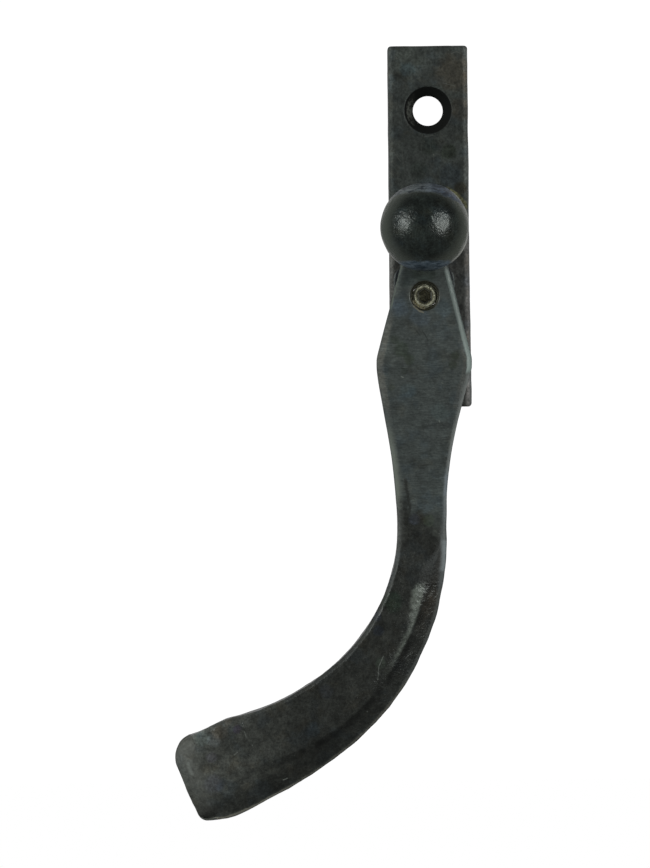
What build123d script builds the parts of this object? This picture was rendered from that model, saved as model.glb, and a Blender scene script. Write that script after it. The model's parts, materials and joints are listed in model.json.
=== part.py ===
from build123d import *
import math
import os

# Peardrop espagnolette: a forged lever on a narrow plate that turns a window's bolt gear by a square spindle.
# Millimetres. +Z is up, the front faces -Y, and the origin is on the spindle's axis at the plate's back face.
# A height is a distance in front of the plate's back face, so it runs along -Y.

# Plate
PLATE_X = 1.4
PLATE_Z = 0.85
PLATE_WIDTH = 20.0
PLATE_LENGTH = 90.0
PLATE_THICK = 5.0
PLATE_CORNER_R = 0.8
PLATE_EDGE_R = 1.2
FIXING_SPACING = 58.0
FIXING_R = 3.75
FIXING_SINK_R = 5.95
RECESS_R = 7.5
RECESS_DEEP = 3.0

# Clearances
RUNNING = 0.05
PLAY = 0.05
SLIP = 0.1

# Hub and what turns with it
JOURNAL_R = 6.0
COLLAR_R = 8.0
COLLAR_LOW = 6.0
COLLAR_HIGH = 10.0
EYE_SQUARE = 8.0
STUD_R = 3.8
STUD_CHAMFER = 0.6
HUB_BACK = 0.05
GROOVE_R = 5.5
GROOVE_LOW = 0.8
GROOVE_HIGH = 1.7
SPINDLE_SIDE = 7.0
SPINDLE_FRONT = 9.0
SPINDLE_REACH = 35.0
SPINDLE_CHAMFER = 0.6
PIN_R = 0.75
PIN_BORE_R = 0.4
PIN_LENGTH = 15.0
PIN_SLOT = 0.4
PIN_HEIGHT = 7.5

# Washers and ring
FRONT_WASHER_THICK = 1.0
RECESS_WASHER_R = 7.3
BACK_WASHER_THICK = 0.5
SPRING_WASHER_THICK = 0.35
SPRING_SEAT = 0.3
SNAP_RING_R = 6.8
SNAP_RING_GAP = 3.0

# Ball
BALL_R = 10.95
BALL_HEIGHT = 24.5
BALL_HOLE_DEEP = 6.0

# Lever: flat head, seen from the front
HEAD_LOW = 10.0
HEAD_THICK = 6.0
EYE_R = 7.5
NECK_LEFT = -5.9
NECK_RIGHT = 5.75
NECK_Z = -9.0
NECK_FILLET = 6.0
FLARE_Z = -32.2
FLARE_FILLET = 5.0
SHOULDER_Z = -34.5
SHOULDER_LEFT = -12.1
SHOULDER_RIGHT = 11.55
HEAD_CHAMFER = 0.95
HEAD_CHAMFER_DEEP = 0.45
BACK_CHAMFER = 0.6

# Lever: tapering stretch under the shoulder, as (z, left edge, right edge)
TAPER = (
    (SHOULDER_Z, SHOULDER_LEFT, SHOULDER_RIGHT),
    (-38.5, -11.55, 10.5),
    (-43.0, -10.8, 9.2),
    (-50.0, -9.65, 7.45),
    (-58.0, -8.4, 5.8),
    (-66.0, -7.7, 4.9),
    (-75.0, -7.4, 4.5),
)

# Lever: grip, whose centreline is two arcs and a straight end, turning from down towards -X
GRIP_X = -1.5
GRIP_Z = -75.0
GRIP_R1 = 54.4
GRIP_TURN1 = math.radians(50)
GRIP_R2 = 76.5
GRIP_TURN2 = math.radians(66.7)
GRIP_STRAIGHT = 21.8
GRIP_WIDTH = 11.6
GRIP_WIDENS = 0.11
GRIP_FLARES = 0.0004
GRIP_MAX_WIDTH = 22.5
GRIP_END_WIDTH = 22.6
GRIP_INNER_CORNER_R = 6.0
GRIP_OUTER_CORNER_R = 4.0
GRIP_STEPS = 4

# Lever: the side view's crank, from the head's depth to the grip's
CRANK_TOP = -46.0
CRANK_FOOT = -88.0
GRIP_HEIGHT = 26.5
GRIP_THICK = 9.5

# Lever: bevels of the grip's front, which the head's chamfer widens into under the crank's middle
BEVEL_TOP = -76.0
BEVEL_FOOT = -89.0
BEVEL_LEAST = 1.7
BEVEL_SHARE = 0.195
BEVEL_DEEP = 3.4
INNER_BEVEL = 1.0
GRIP_BACK_BEVEL = 1.8

# Locking lug and screw
LOCK_Z = -16.7
LUG_SIDE = 15.0
LUG_CORNER_R = 3.0
LOCK_SCREW_R = 3.0
LOCK_SINK_R = 3.75
LOCK_HOLE_R = 3.3
SCREW_HIGH = 15.0
SCREW_LENGTH = 8.0
SCREW_CHAMFER = 0.5
THREAD_PITCH = 1.0
THREAD_DEEP = 0.45
THREAD_FLAT = 0.15
HEX_KEY = 3.0
HEX_TURN = 30
HEX_DEEP = 3.5
HEX_BEVEL = 0.3

HEAD_HIGH = HEAD_LOW + HEAD_THICK

os.makedirs("parts", exist_ok=True)


def front(height):
    """The plane facing forwards at a height in front of the plate's back face, with +Z up."""
    return Plane.XZ.offset(height)


def hole(radius, low, high, z=0):
    """A round hole cut between two heights, z above or below the spindle's axis."""
    with BuildSketch(front(low)) as profile:
        with Locations((0, z)):
            Circle(radius)
    extrude(profile.sketch, amount=high - low, mode=Mode.SUBTRACT)


def ring(outer, inner, low, high):
    """A flat ring on the spindle's axis between two heights."""
    with BuildSketch(front(low)) as profile:
        Circle(outer)
        Circle(inner, mode=Mode.SUBTRACT)
    extrude(profile.sketch, amount=high - low)


def turned(points, z=0):
    """A solid turned from (radius, height) points about an axis z above or below the spindle's."""
    with BuildSketch(Plane((0, 0, z))) as profile:
        with BuildLine():
            Polyline([(radius, -height) for radius, height in points], close=True)
        make_face()
    revolve(profile.sketch, axis=Axis((0, 0, z), (0, 1, 0)))


def cross_hole(half_length):
    """The spindle pin's hole, along X."""
    with BuildSketch(Plane.YZ.offset(-half_length)) as profile:
        with Locations((-PIN_HEIGHT, 0)):
            Circle(PIN_R)
    extrude(profile.sketch, amount=2 * half_length, mode=Mode.SUBTRACT)


def thread(low, high):
    """Points up the locking screw's thread, shown as plain ridges."""
    points = []
    for turn in range(int((high - low) / THREAD_PITCH)):
        foot = low + turn * THREAD_PITCH
        points += [
            (LOCK_SCREW_R, foot),
            (LOCK_SCREW_R, foot + THREAD_FLAT),
            (LOCK_SCREW_R - THREAD_DEEP, foot + THREAD_PITCH / 2),
            (LOCK_SCREW_R, foot + THREAD_PITCH - THREAD_FLAT),
        ]
    return points


def smooth(value, start, end):
    """0 at start and 1 at end, with no kink at either."""
    t = min(max((value - start) / (end - start), 0), 1)
    return t * t * (3 - 2 * t)


def grip_point(s):
    """Centre and turn of the grip's centreline, s along it from its top."""
    turn = min(s / GRIP_R1, GRIP_TURN1)
    x = GRIP_X - GRIP_R1 * (1 - math.cos(turn))
    z = GRIP_Z - GRIP_R1 * math.sin(turn)
    rest = s - GRIP_R1 * turn
    turn2 = min(turn + rest / GRIP_R2, GRIP_TURN2)
    x -= GRIP_R2 * (math.cos(turn) - math.cos(turn2))
    z -= GRIP_R2 * (math.sin(turn2) - math.sin(turn))
    rest -= GRIP_R2 * (turn2 - turn)
    return x - rest * math.sin(turn2), z - rest * math.cos(turn2), turn2


def grip_width(s):
    """Width of the grip, which widens faster and faster until it levels off."""
    return min(GRIP_WIDTH + GRIP_WIDENS * s + GRIP_FLARES * s * s, GRIP_MAX_WIDTH)


def lever_section(x, z, turn, width):
    """One cross-section of the lever, square to its centreline, with a bevelled front."""
    crank = smooth(z, CRANK_TOP, CRANK_FOOT)
    head_middle = HEAD_LOW + HEAD_THICK / 2
    height = head_middle + (GRIP_HEIGHT - head_middle) * crank
    v = (HEAD_THICK + (GRIP_THICK - HEAD_THICK) * crank) / 2
    bevel = smooth(z, BEVEL_TOP, BEVEL_FOOT)
    outer = HEAD_CHAMFER + (BEVEL_LEAST + BEVEL_SHARE * width - HEAD_CHAMFER) * bevel
    outer_deep = HEAD_CHAMFER_DEEP + (BEVEL_DEEP - HEAD_CHAMFER_DEEP) * bevel
    inner = HEAD_CHAMFER + (INNER_BEVEL - HEAD_CHAMFER) * bevel
    inner_deep = HEAD_CHAMFER_DEEP + (INNER_BEVEL - HEAD_CHAMFER_DEEP) * bevel
    back = BACK_CHAMFER + (GRIP_BACK_BEVEL - BACK_CHAMFER) * crank
    u = width / 2
    across = (math.cos(turn), 0, -math.sin(turn))
    along = (-math.sin(turn), 0, -math.cos(turn))
    with BuildSketch(Plane(origin=(x, -height, z), x_dir=across, z_dir=along)) as section:
        with BuildLine():
            Polyline(
                (-u + back, -v),
                (u - back, -v),
                (u, -v + back),
                (u, v - outer_deep),
                (u - outer, v),
                (-u + inner, v),
                (-u, v - inner_deep),
                (-u, -v + back),
                close=True,
            )
        make_face()
    return section.sketch


# Backplate: flat bar with softened edges, two countersunk holes, the hub's bore and a recess behind it
with BuildPart() as backplate:
    with BuildSketch(front(0)):
        with Locations((PLATE_X, PLATE_Z)):
            Rectangle(PLATE_WIDTH, PLATE_LENGTH)
    extrude(amount=PLATE_THICK)
    fillet(backplate.edges().filter_by(Axis.Y), PLATE_CORNER_R)
    fillet(backplate.faces().sort_by(Axis.Y)[0].edges(), PLATE_EDGE_R)
    with Locations(front(PLATE_THICK)):
        with Locations((PLATE_X, PLATE_Z)):
            with GridLocations(0, FIXING_SPACING, 1, 2):
                CounterSinkHole(FIXING_R, FIXING_SINK_R)
    hole(JOURNAL_R + RUNNING, 0, PLATE_THICK)
    hole(RECESS_R, 0, RECESS_DEEP)
    hole(LOCK_HOLE_R, 0, PLATE_THICK, LOCK_Z)
backplate.part.label = "backplate"
export_step(backplate.part, "parts/backplate.step")

# Pivot hub: journal in the plate, collar, square neck for the lever's eye and stud for the ball
stud_top = HEAD_HIGH + BALL_HOLE_DEEP - SLIP
with BuildPart() as pivot_hub:
    turned(
        (
            (0, HUB_BACK),
            (JOURNAL_R, HUB_BACK),
            (JOURNAL_R, GROOVE_LOW),
            (GROOVE_R, GROOVE_LOW),
            (GROOVE_R, GROOVE_HIGH),
            (JOURNAL_R, GROOVE_HIGH),
            (JOURNAL_R, COLLAR_LOW),
            (COLLAR_R, COLLAR_LOW),
            (COLLAR_R, COLLAR_HIGH),
            (STUD_R, COLLAR_HIGH),
            (STUD_R, stud_top - STUD_CHAMFER),
            (STUD_R - STUD_CHAMFER, stud_top),
            (0, stud_top),
        )
    )
    with BuildSketch(front(COLLAR_HIGH)):
        Rectangle(EYE_SQUARE - SLIP, EYE_SQUARE - SLIP)
    extrude(amount=HEAD_THICK - SLIP)
    with BuildSketch(front(0)):
        Rectangle(SPINDLE_SIDE + SLIP, SPINDLE_SIDE + SLIP)
    extrude(amount=SPINDLE_FRONT + PLAY, mode=Mode.SUBTRACT)
    cross_hole(COLLAR_R)
pivot_hub.part.label = "pivot_hub"
export_step(pivot_hub.part, "parts/pivot_hub.step")

# Spindle: square bar that drives the bolt gear behind the window frame's face
with BuildPart() as spindle:
    with BuildSketch(front(-SPINDLE_REACH)):
        Rectangle(SPINDLE_SIDE, SPINDLE_SIDE)
    extrude(amount=SPINDLE_REACH + SPINDLE_FRONT)
    chamfer(spindle.faces().sort_by(Axis.Y)[-1].edges(), SPINDLE_CHAMFER)
    cross_hole(SPINDLE_SIDE)
spindle.part.label = "spindle"
export_step(spindle.part, "parts/spindle.step")

# Spindle pin: slotted spring pin through the collar and the spindle
with BuildPart() as spindle_pin:
    with BuildSketch(Plane.YZ.offset(-PIN_LENGTH / 2)):
        with Locations((-PIN_HEIGHT, 0)):
            Circle(PIN_R)
            Circle(PIN_BORE_R, mode=Mode.SUBTRACT)
        with Locations((-PIN_HEIGHT - PIN_R, 0)):
            Rectangle(2 * PIN_R, PIN_SLOT, mode=Mode.SUBTRACT)
    extrude(amount=PIN_LENGTH)
spindle_pin.part.label = "spindle_pin"
export_step(spindle_pin.part, "parts/spindle_pin.step")

# Front washer: thrust washer between the plate and the hub's collar
with BuildPart() as front_washer:
    ring(COLLAR_R, JOURNAL_R + SLIP, PLATE_THICK, PLATE_THICK + FRONT_WASHER_THICK - PLAY)
front_washer.part.label = "front_washer"
export_step(front_washer.part, "parts/front_washer.step")

# Spring washer: coned disc spring in the plate's recess, whose push holds the lever where it is put
spring_low = GROOVE_HIGH + BACK_WASHER_THICK + PLAY
with BuildPart() as spring_washer:
    turned(
        (
            (JOURNAL_R + SLIP, spring_low),
            (JOURNAL_R + SLIP + SPRING_SEAT, spring_low),
            (RECESS_WASHER_R, RECESS_DEEP - SPRING_WASHER_THICK),
            (RECESS_WASHER_R, RECESS_DEEP),
            (RECESS_WASHER_R - SPRING_SEAT, RECESS_DEEP),
            (JOURNAL_R + SLIP, spring_low + SPRING_WASHER_THICK),
        )
    )
spring_washer.part.label = "spring_washer"
export_step(spring_washer.part, "parts/spring_washer.step")

# Back washer: flat washer that turns with the hub, between the disc spring and the snap ring
with BuildPart() as back_washer:
    ring(RECESS_WASHER_R, JOURNAL_R + SLIP, GROOVE_HIGH, GROOVE_HIGH + BACK_WASHER_THICK)
back_washer.part.label = "back_washer"
export_step(back_washer.part, "parts/back_washer.step")

# Snap ring: open ring in the hub's groove, which holds the hub in the plate
with BuildPart() as snap_ring:
    with BuildSketch(front(GROOVE_LOW + PLAY)):
        Circle(SNAP_RING_R)
        Circle(GROOVE_R + PLAY, mode=Mode.SUBTRACT)
        with Locations((0, -SNAP_RING_R)):
            Rectangle(SNAP_RING_GAP, SNAP_RING_R, mode=Mode.SUBTRACT)
    extrude(amount=GROOVE_HIGH - GROOVE_LOW - PLAY)
snap_ring.part.label = "snap_ring"
export_step(snap_ring.part, "parts/snap_ring.step")

# Ball knob: forged ball with a flat seat on the lever and a hole for the hub's stud
seat_r = math.sqrt(BALL_R**2 - (BALL_HEIGHT - HEAD_HIGH) ** 2)
with BuildPart() as ball_knob:
    with BuildSketch():
        with BuildLine():
            Line((0, -BALL_HEIGHT - BALL_R), (0, -HEAD_HIGH))
            Line((0, -HEAD_HIGH), (seat_r, -HEAD_HIGH))
            ThreePointArc((seat_r, -HEAD_HIGH), (BALL_R, -BALL_HEIGHT), (0, -BALL_HEIGHT - BALL_R))
        make_face()
    revolve(axis=Axis.Y)
    hole(STUD_R + PLAY, HEAD_HIGH, HEAD_HIGH + BALL_HOLE_DEEP)
ball_knob.part.label = "ball_knob"
export_step(ball_knob.part, "parts/ball_knob.step")

# Lever: flat head with its eye, taper and crank, then the curved grip that widens to a blunt end
eye_left_z = -math.sqrt(EYE_R**2 - NECK_LEFT**2)
eye_right_z = -math.sqrt(EYE_R**2 - NECK_RIGHT**2)
grip_curve = GRIP_R1 * GRIP_TURN1 + GRIP_R2 * (GRIP_TURN2 - GRIP_TURN1)
stations = [grip_curve * step / GRIP_STEPS for step in (0.5, *range(1, GRIP_STEPS + 1))]
stations += [grip_curve + GRIP_STRAIGHT / 2, grip_curve + GRIP_STRAIGHT]
with BuildPart() as lever:
    with BuildSketch(front(HEAD_LOW)):
        with BuildLine():
            ThreePointArc((NECK_LEFT, eye_left_z), (0, EYE_R), (NECK_RIGHT, eye_right_z))
            FilletPolyline(
                (NECK_RIGHT, eye_right_z),
                (NECK_RIGHT, NECK_Z),
                (SHOULDER_RIGHT, FLARE_Z),
                (SHOULDER_RIGHT, SHOULDER_Z),
                radius=(NECK_FILLET, FLARE_FILLET),
            )
            Line((SHOULDER_RIGHT, SHOULDER_Z), (SHOULDER_LEFT, SHOULDER_Z))
            FilletPolyline(
                (SHOULDER_LEFT, SHOULDER_Z),
                (SHOULDER_LEFT, FLARE_Z),
                (NECK_LEFT, NECK_Z),
                (NECK_LEFT, eye_left_z),
                radius=(FLARE_FILLET, NECK_FILLET),
            )
        make_face()
    extrude(amount=HEAD_THICK)
    head_face = lever.faces().sort_by(Axis.Y)[0]
    front_rim = head_face.edges().sort_by(Axis.Z)[1:]
    chamfer(front_rim, HEAD_CHAMFER, HEAD_CHAMFER_DEEP, reference=head_face)
    back_rim = lever.faces().sort_by(Axis.Y)[-1].edges().sort_by(Axis.Z)[1:]
    chamfer(back_rim, BACK_CHAMFER)
    sections = [lever_section((left + right) / 2, z, 0, right - left) for z, left, right in TAPER]
    sections += [lever_section(*grip_point(s), grip_width(s)) for s in stations]
    loft(sections)
    end_x, end_z, end_turn = grip_point(stations[-1])
    end_across = (math.cos(end_turn), 0, -math.sin(end_turn))
    with BuildSketch(Plane(origin=(end_x, 0, end_z), x_dir=end_across, z_dir=(0, -1, 0))):
        Rectangle(2 * GRIP_END_WIDTH, GRIP_END_WIDTH)
        with BuildLine():
            FilletPolyline(
                (-GRIP_END_WIDTH / 2, GRIP_END_WIDTH),
                (-GRIP_END_WIDTH / 2, 0),
                (GRIP_END_WIDTH / 2, 0),
                (GRIP_END_WIDTH / 2, GRIP_END_WIDTH),
                radius=(GRIP_INNER_CORNER_R, GRIP_OUTER_CORNER_R),
            )
            Line((GRIP_END_WIDTH / 2, GRIP_END_WIDTH), (-GRIP_END_WIDTH / 2, GRIP_END_WIDTH))
        make_face(mode=Mode.SUBTRACT)
    extrude(amount=GRIP_HEIGHT + GRIP_THICK, mode=Mode.SUBTRACT)
    with BuildSketch(front(HEAD_LOW)):
        Rectangle(EYE_SQUARE, EYE_SQUARE)
    extrude(amount=HEAD_THICK, mode=Mode.SUBTRACT)
    with Locations(front(HEAD_HIGH)):
        with Locations((0, LOCK_Z)):
            CounterSinkHole(LOCK_SCREW_R + RUNNING, LOCK_SINK_R)
lever.part.label = "lever"
export_step(lever.part, "parts/lever.step")

# Locking lug: rounded block welded behind the lever's neck, which gives the locking screw its length of thread
with BuildPart() as locking_lug:
    with BuildSketch(front(COLLAR_LOW)):
        with Locations((0, LOCK_Z)):
            RectangleRounded(LUG_SIDE, LUG_SIDE, LUG_CORNER_R)
            Circle(LOCK_SCREW_R + RUNNING, mode=Mode.SUBTRACT)
    extrude(amount=HEAD_LOW - COLLAR_LOW)
locking_lug.part.label = "locking_lug"
export_step(locking_lug.part, "parts/locking_lug.step")

# Locking screw: socket set screw, shown backed off, that enters the plate's hole to lock the lever
screw_low = SCREW_HIGH - SCREW_LENGTH
screw_tip_r = LOCK_SCREW_R - SCREW_CHAMFER
with BuildPart() as locking_screw:
    turned(
        (
            (0, screw_low),
            (screw_tip_r, screw_low),
            *thread(screw_low + SCREW_CHAMFER, SCREW_HIGH - SCREW_CHAMFER),
            (LOCK_SCREW_R, SCREW_HIGH - SCREW_CHAMFER),
            (screw_tip_r, SCREW_HIGH),
            (0, SCREW_HIGH),
        ),
        LOCK_Z,
    )
    with BuildSketch(front(SCREW_HIGH)):
        with Locations((0, LOCK_Z)):
            RegularPolygon(HEX_KEY / 2, 6, major_radius=False, rotation=HEX_TURN)
    extrude(amount=-HEX_DEEP, mode=Mode.SUBTRACT)
    socket_rim = locking_screw.edges().filter_by(GeomType.LINE).group_by(Axis.Y)[0]
    chamfer(socket_rim, HEX_BEVEL)
locking_screw.part.label = "locking_screw"
export_step(locking_screw.part, "parts/locking_screw.step")
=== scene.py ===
import json
import math

import bmesh
import bpy
import numpy as np
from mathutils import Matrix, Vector, noise

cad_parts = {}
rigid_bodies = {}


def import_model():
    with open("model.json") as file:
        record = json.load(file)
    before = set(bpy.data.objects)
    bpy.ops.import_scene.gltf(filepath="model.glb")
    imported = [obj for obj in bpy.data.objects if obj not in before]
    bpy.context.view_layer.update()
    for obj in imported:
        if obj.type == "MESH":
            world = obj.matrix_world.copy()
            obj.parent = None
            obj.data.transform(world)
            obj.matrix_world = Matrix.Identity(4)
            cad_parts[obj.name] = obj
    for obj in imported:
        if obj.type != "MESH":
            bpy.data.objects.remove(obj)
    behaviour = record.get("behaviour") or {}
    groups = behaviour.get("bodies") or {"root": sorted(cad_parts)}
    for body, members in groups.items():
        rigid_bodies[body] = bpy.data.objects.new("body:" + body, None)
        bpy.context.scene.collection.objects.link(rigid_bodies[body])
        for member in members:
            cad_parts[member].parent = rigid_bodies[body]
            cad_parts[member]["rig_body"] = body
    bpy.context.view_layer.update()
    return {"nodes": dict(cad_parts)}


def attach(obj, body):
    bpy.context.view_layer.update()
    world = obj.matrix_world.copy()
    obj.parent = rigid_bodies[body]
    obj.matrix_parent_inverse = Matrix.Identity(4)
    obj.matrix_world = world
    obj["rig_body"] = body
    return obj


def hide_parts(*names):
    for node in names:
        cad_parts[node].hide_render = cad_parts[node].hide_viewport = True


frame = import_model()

# Peardrop espagnolette, a forged window handle, dressed for a plain product shot.
# Metres, in the CAD model's frame: +Z is up, the front faces -Y, and the origin is on the spindle's axis
# at the plate's back face. A height is a distance in front of that face, along -Y.
MM = 0.001

# Camera: far in front, level with the middle of the object's height, and leaning as the photograph does
FRAME_HEIGHT = 868
PLATE_THICK = 5 * MM
MM_PER_PIXEL = 0.2494
CAMERA_DISTANCE = 1400 * MM
CAMERA_X = -24.99 * MM
CAMERA_Z = -50.69 * MM
CAMERA_ROLL = math.radians(0.5)
SENSOR = 36.0
NEAREST_SEEN = 0.01
FARTHEST_SEEN = 50

# Plate, ball and lock, as part.py has them
PLATE_X = 1.4 * MM
PLATE_Z = 0.85 * MM
FIXING_SPACING = 58 * MM
LOWER_HOLE_Z = PLATE_Z - FIXING_SPACING / 2
UPPER_HOLE_Z = PLATE_Z + FIXING_SPACING / 2
SINK_R = 5.95 * MM
HEAD_MIDDLE = 13 * MM
HEAD_FRONT = 16 * MM
BALL_HEIGHT = 24.5 * MM
LOCK_Z = -16.7 * MM
SCREW_HIGH = 15 * MM
LOCK_SINK_R = 3.75 * MM

# Lever's head and taper, as part.py has them: z, left edge and right edge in mm, from the top
EDGES = (
    (-9.0, -5.9, 5.75),
    (-32.2, -12.1, 11.55),
    (-34.5, -12.1, 11.55),
    (-38.5, -11.55, 10.5),
    (-43.0, -10.8, 9.2),
    (-50.0, -9.65, 7.45),
    (-58.0, -8.4, 5.8),
    (-66.0, -7.7, 4.9),
    (-75.0, -7.4, 4.5),
)

# Lever's grip, as part.py has it
GRIP_X = -1.5 * MM
GRIP_Z = -75 * MM
GRIP_R1 = 54.4 * MM
GRIP_TURN1 = math.radians(50)
GRIP_R2 = 76.5 * MM
GRIP_TURN2 = math.radians(66.7)
GRIP_STRAIGHT = 21.8 * MM
GRIP_WIDTH = 11.6 * MM
GRIP_WIDENS = 0.11
GRIP_FLARES = 0.0004 / MM
GRIP_MAX_WIDTH = 22.5 * MM
GRIP_MIDDLE = 26.5 * MM
INNER_CORNER_R = 6 * MM
OUTER_CORNER_R = 4 * MM
CRANK_TOP = -46 * MM
CRANK_FOOT = -88 * MM
HEAD_CHAMFER = 0.95 * MM
BEVEL_TOP = -76 * MM
BEVEL_FOOT = -89 * MM
BEVEL_LEAST = 1.7 * MM
BEVEL_SHARE = 0.195
BEVEL_DEEP = 3.4 * MM

# Grip's front, from its outer edge inwards in widths of the flat bevel: share of the bevel's depth
BEVEL_ROUND = ((0.0, 1.0), (0.1, 0.94), (0.5, 0.67), (0.85, 0.42), (1.0, 0.27), (1.55, 0.03), (1.75, 0.0))
BEVEL_END = ((0.0, 1.0), (0.3, 0.77), (0.6, 0.55), (0.9, 0.36), (1.2, 0.2), (1.5, 0.08), (1.8, 0.0))

# How far into the lever's front its painted rims and ridge reach
PAINT_REACH = 12 * MM

# Where the smooth taper turns into the hammered grip
HAMMERED_TOP = -60 * MM
HAMMERED_FOOT = -84 * MM

# Screw's hexagon socket: the turn from flat to flat, and in mm from the axis to a flat and to the dark edge
HEXAGON_TURN = math.radians(60)
SOCKET_FLAT = 1.78
SOCKET_EDGE = 1.86

# Paint under the patches, in linear light
PLATE_COLOUR = (0.0338, 0.0371, 0.0350)
HEAD_COLOUR = (0.0490, 0.0552, 0.0545)
GRIP_COLOUR = (0.0275, 0.0280, 0.0258)
BALL_COLOUR = (0.0165, 0.0202, 0.0186)
LUG_COLOUR = (0.014, 0.017, 0.022)

# The values that most of a noise lies between
NOISE_RANGE = (0.3, 0.7)

# Stage
FLOOR_Z = -165 * MM
FLOOR_SIZE = 0.9
FLOOR_COLOUR = (0.25, 0.25, 0.25)
LIGHT_TINT = (0.93, 1.0, 0.95)
LIGHT_AIM_Z = -40 * MM

# World: brightness in front, behind, and as the camera sees it. It turns from one to the other where the way
# back, plus shares of the height and of the way right, is between two values
WORLD_FRONT = 0.075
WORLD_BEHIND = 0.5
WORLD_SEEN = 1.05
WORLD_HEIGHT_SHARE = 0.5
WORLD_RIGHT_SHARE = 0.12
WORLD_TURNS = (0.82, 1.02)


def smooth(value, start, end):
    """0 at start and 1 at end, with no kink at either."""
    share = np.clip((value - start) / (end - start), 0, 1)
    return share * share * (3 - 2 * share)


def linked(name, data):
    """A new object that holds data, in the scene."""
    thing = bpy.data.objects.new(name, data)
    bpy.context.scene.collection.objects.link(thing)
    return thing


def applied(thing):
    """The mesh that the object's modifiers make, with the modifiers gone."""
    graph = bpy.context.evaluated_depsgraph_get()
    made = bpy.data.meshes.new_from_object(thing.evaluated_get(graph))
    thing.modifiers.clear()
    thing.data = made
    return made


def points_of(mesh):
    """The mesh's points as rows of x, y and z."""
    flat = np.empty(len(mesh.vertices) * 3, np.float32)
    mesh.vertices.foreach_get("co", flat)
    return flat.reshape(-1, 3).astype(float)


def normals_of(mesh):
    """The mesh's point normals as rows of x, y and z."""
    flat = np.empty(len(mesh.vertices) * 3, np.float32)
    mesh.vertex_normals.foreach_get("vector", flat)
    return flat.reshape(-1, 3).astype(float)


def moved(piece, points):
    """Puts the piece's points where they are given."""
    piece.data.vertices.foreach_set("co", points.astype(np.float32).ravel())
    piece.data.update()


def softened(mesh, points, weight, rounds):
    """The points, each drawn towards its neighbours in every round by its weight."""
    flat = np.empty(len(mesh.edges) * 2, np.int32)
    mesh.edges.foreach_get("vertices", flat)
    start, end = flat.reshape(-1, 2).T
    degree = np.bincount(flat, minlength=len(points))[:, None]
    for _ in range(rounds):
        total = np.empty_like(points)
        for axis in range(3):
            total[:, axis] = np.bincount(start, points[end, axis], len(points))
            total[:, axis] += np.bincount(end, points[start, axis], len(points))
        points = points + 0.5 * weight[:, None] * (total / degree - points)
    return points


def soft_noise(points, size, seed):
    """Smooth noise from about -1 to 1, whose swells are about size across."""
    shift = Vector((seed * 17.3, seed * 5.1, seed * 9.7))
    return np.array([noise.noise(Vector(point) / size + shift) for point in points]) * 1.6


def hammer_marks(points, size, seed):
    """Shallow bowls about size across, from 0 at their middles to 1 at the ridges between them."""
    shift = Vector((seed * 3.7, seed * 11.9, seed * 7.3))
    nearest = np.array([noise.voronoi(Vector(point) / size + shift)[0][0] for point in points])
    return np.clip(nearest / 0.7, 0, 1) ** 2


def clear_of(points, x, z, inner, outer):
    """0 within inner of an axis along Y through x and z, and 1 past outer."""
    return smooth(np.hypot(points[:, 0] - x, points[:, 2] - z), inner, outer)


def lump(points, x, z, radius):
    """1 on an axis along Y through x and z in mm, fading to 0 around it."""
    away = np.hypot(points[:, 0] - x * MM, points[:, 2] - z * MM)
    return np.exp(-((away / (radius * MM)) ** 2))


def remeshed(node, name, voxel, rounds):
    """A fine copy of a CAD node with its edges slightly softened, which stands for the node."""
    piece = linked(name, frame["nodes"][node].data.copy())
    seams = bmesh.new()
    seams.from_mesh(piece.data)
    bmesh.ops.remove_doubles(seams, verts=seams.verts, dist=0.001 * MM)
    seams.to_mesh(piece.data)
    seams.free()
    fine = piece.modifiers.new("fine", "REMESH")
    fine.mode = "VOXEL"
    fine.voxel_size = voxel
    soft = piece.modifiers.new("soft", "SMOOTH")
    soft.factor = 0.5
    soft.iterations = rounds
    applied(piece)
    piece.data.shade_smooth()
    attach(piece, frame["nodes"][node]["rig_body"])
    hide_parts(node)
    return piece


def along_grip(points):
    """Each point's distance down the grip, its place outwards from the middle, and the grip's width."""
    x = points[:, 0] - GRIP_X + GRIP_R1
    z = points[:, 2] - GRIP_Z
    turn = np.arctan2(-z, x)
    top = z > 0
    down = np.where(top, -z, GRIP_R1 * turn)
    across = np.where(top, x, np.hypot(x, z)) - GRIP_R1
    x2 = x + (GRIP_R2 - GRIP_R1) * math.cos(GRIP_TURN1)
    z2 = z - (GRIP_R2 - GRIP_R1) * math.sin(GRIP_TURN1)
    past = (GRIP_R2 * math.cos(GRIP_TURN2) - x2) * math.sin(GRIP_TURN2)
    past -= (GRIP_R2 * math.sin(GRIP_TURN2) + z2) * math.cos(GRIP_TURN2)
    past = np.maximum(past, 0)
    x2 = x2 + past * math.sin(GRIP_TURN2)
    z2 = z2 + past * math.cos(GRIP_TURN2)
    second = turn > GRIP_TURN1
    turn2 = np.minimum(np.arctan2(-z2, x2), GRIP_TURN2)
    down = np.where(second, GRIP_R1 * GRIP_TURN1 + GRIP_R2 * (turn2 - GRIP_TURN1) + past, down)
    across = np.where(second, np.hypot(x2, z2) - GRIP_R2, across)
    width = GRIP_WIDTH + GRIP_WIDENS * down + GRIP_FLARES * down * down
    return down, across, np.minimum(width, GRIP_MAX_WIDTH)


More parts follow.
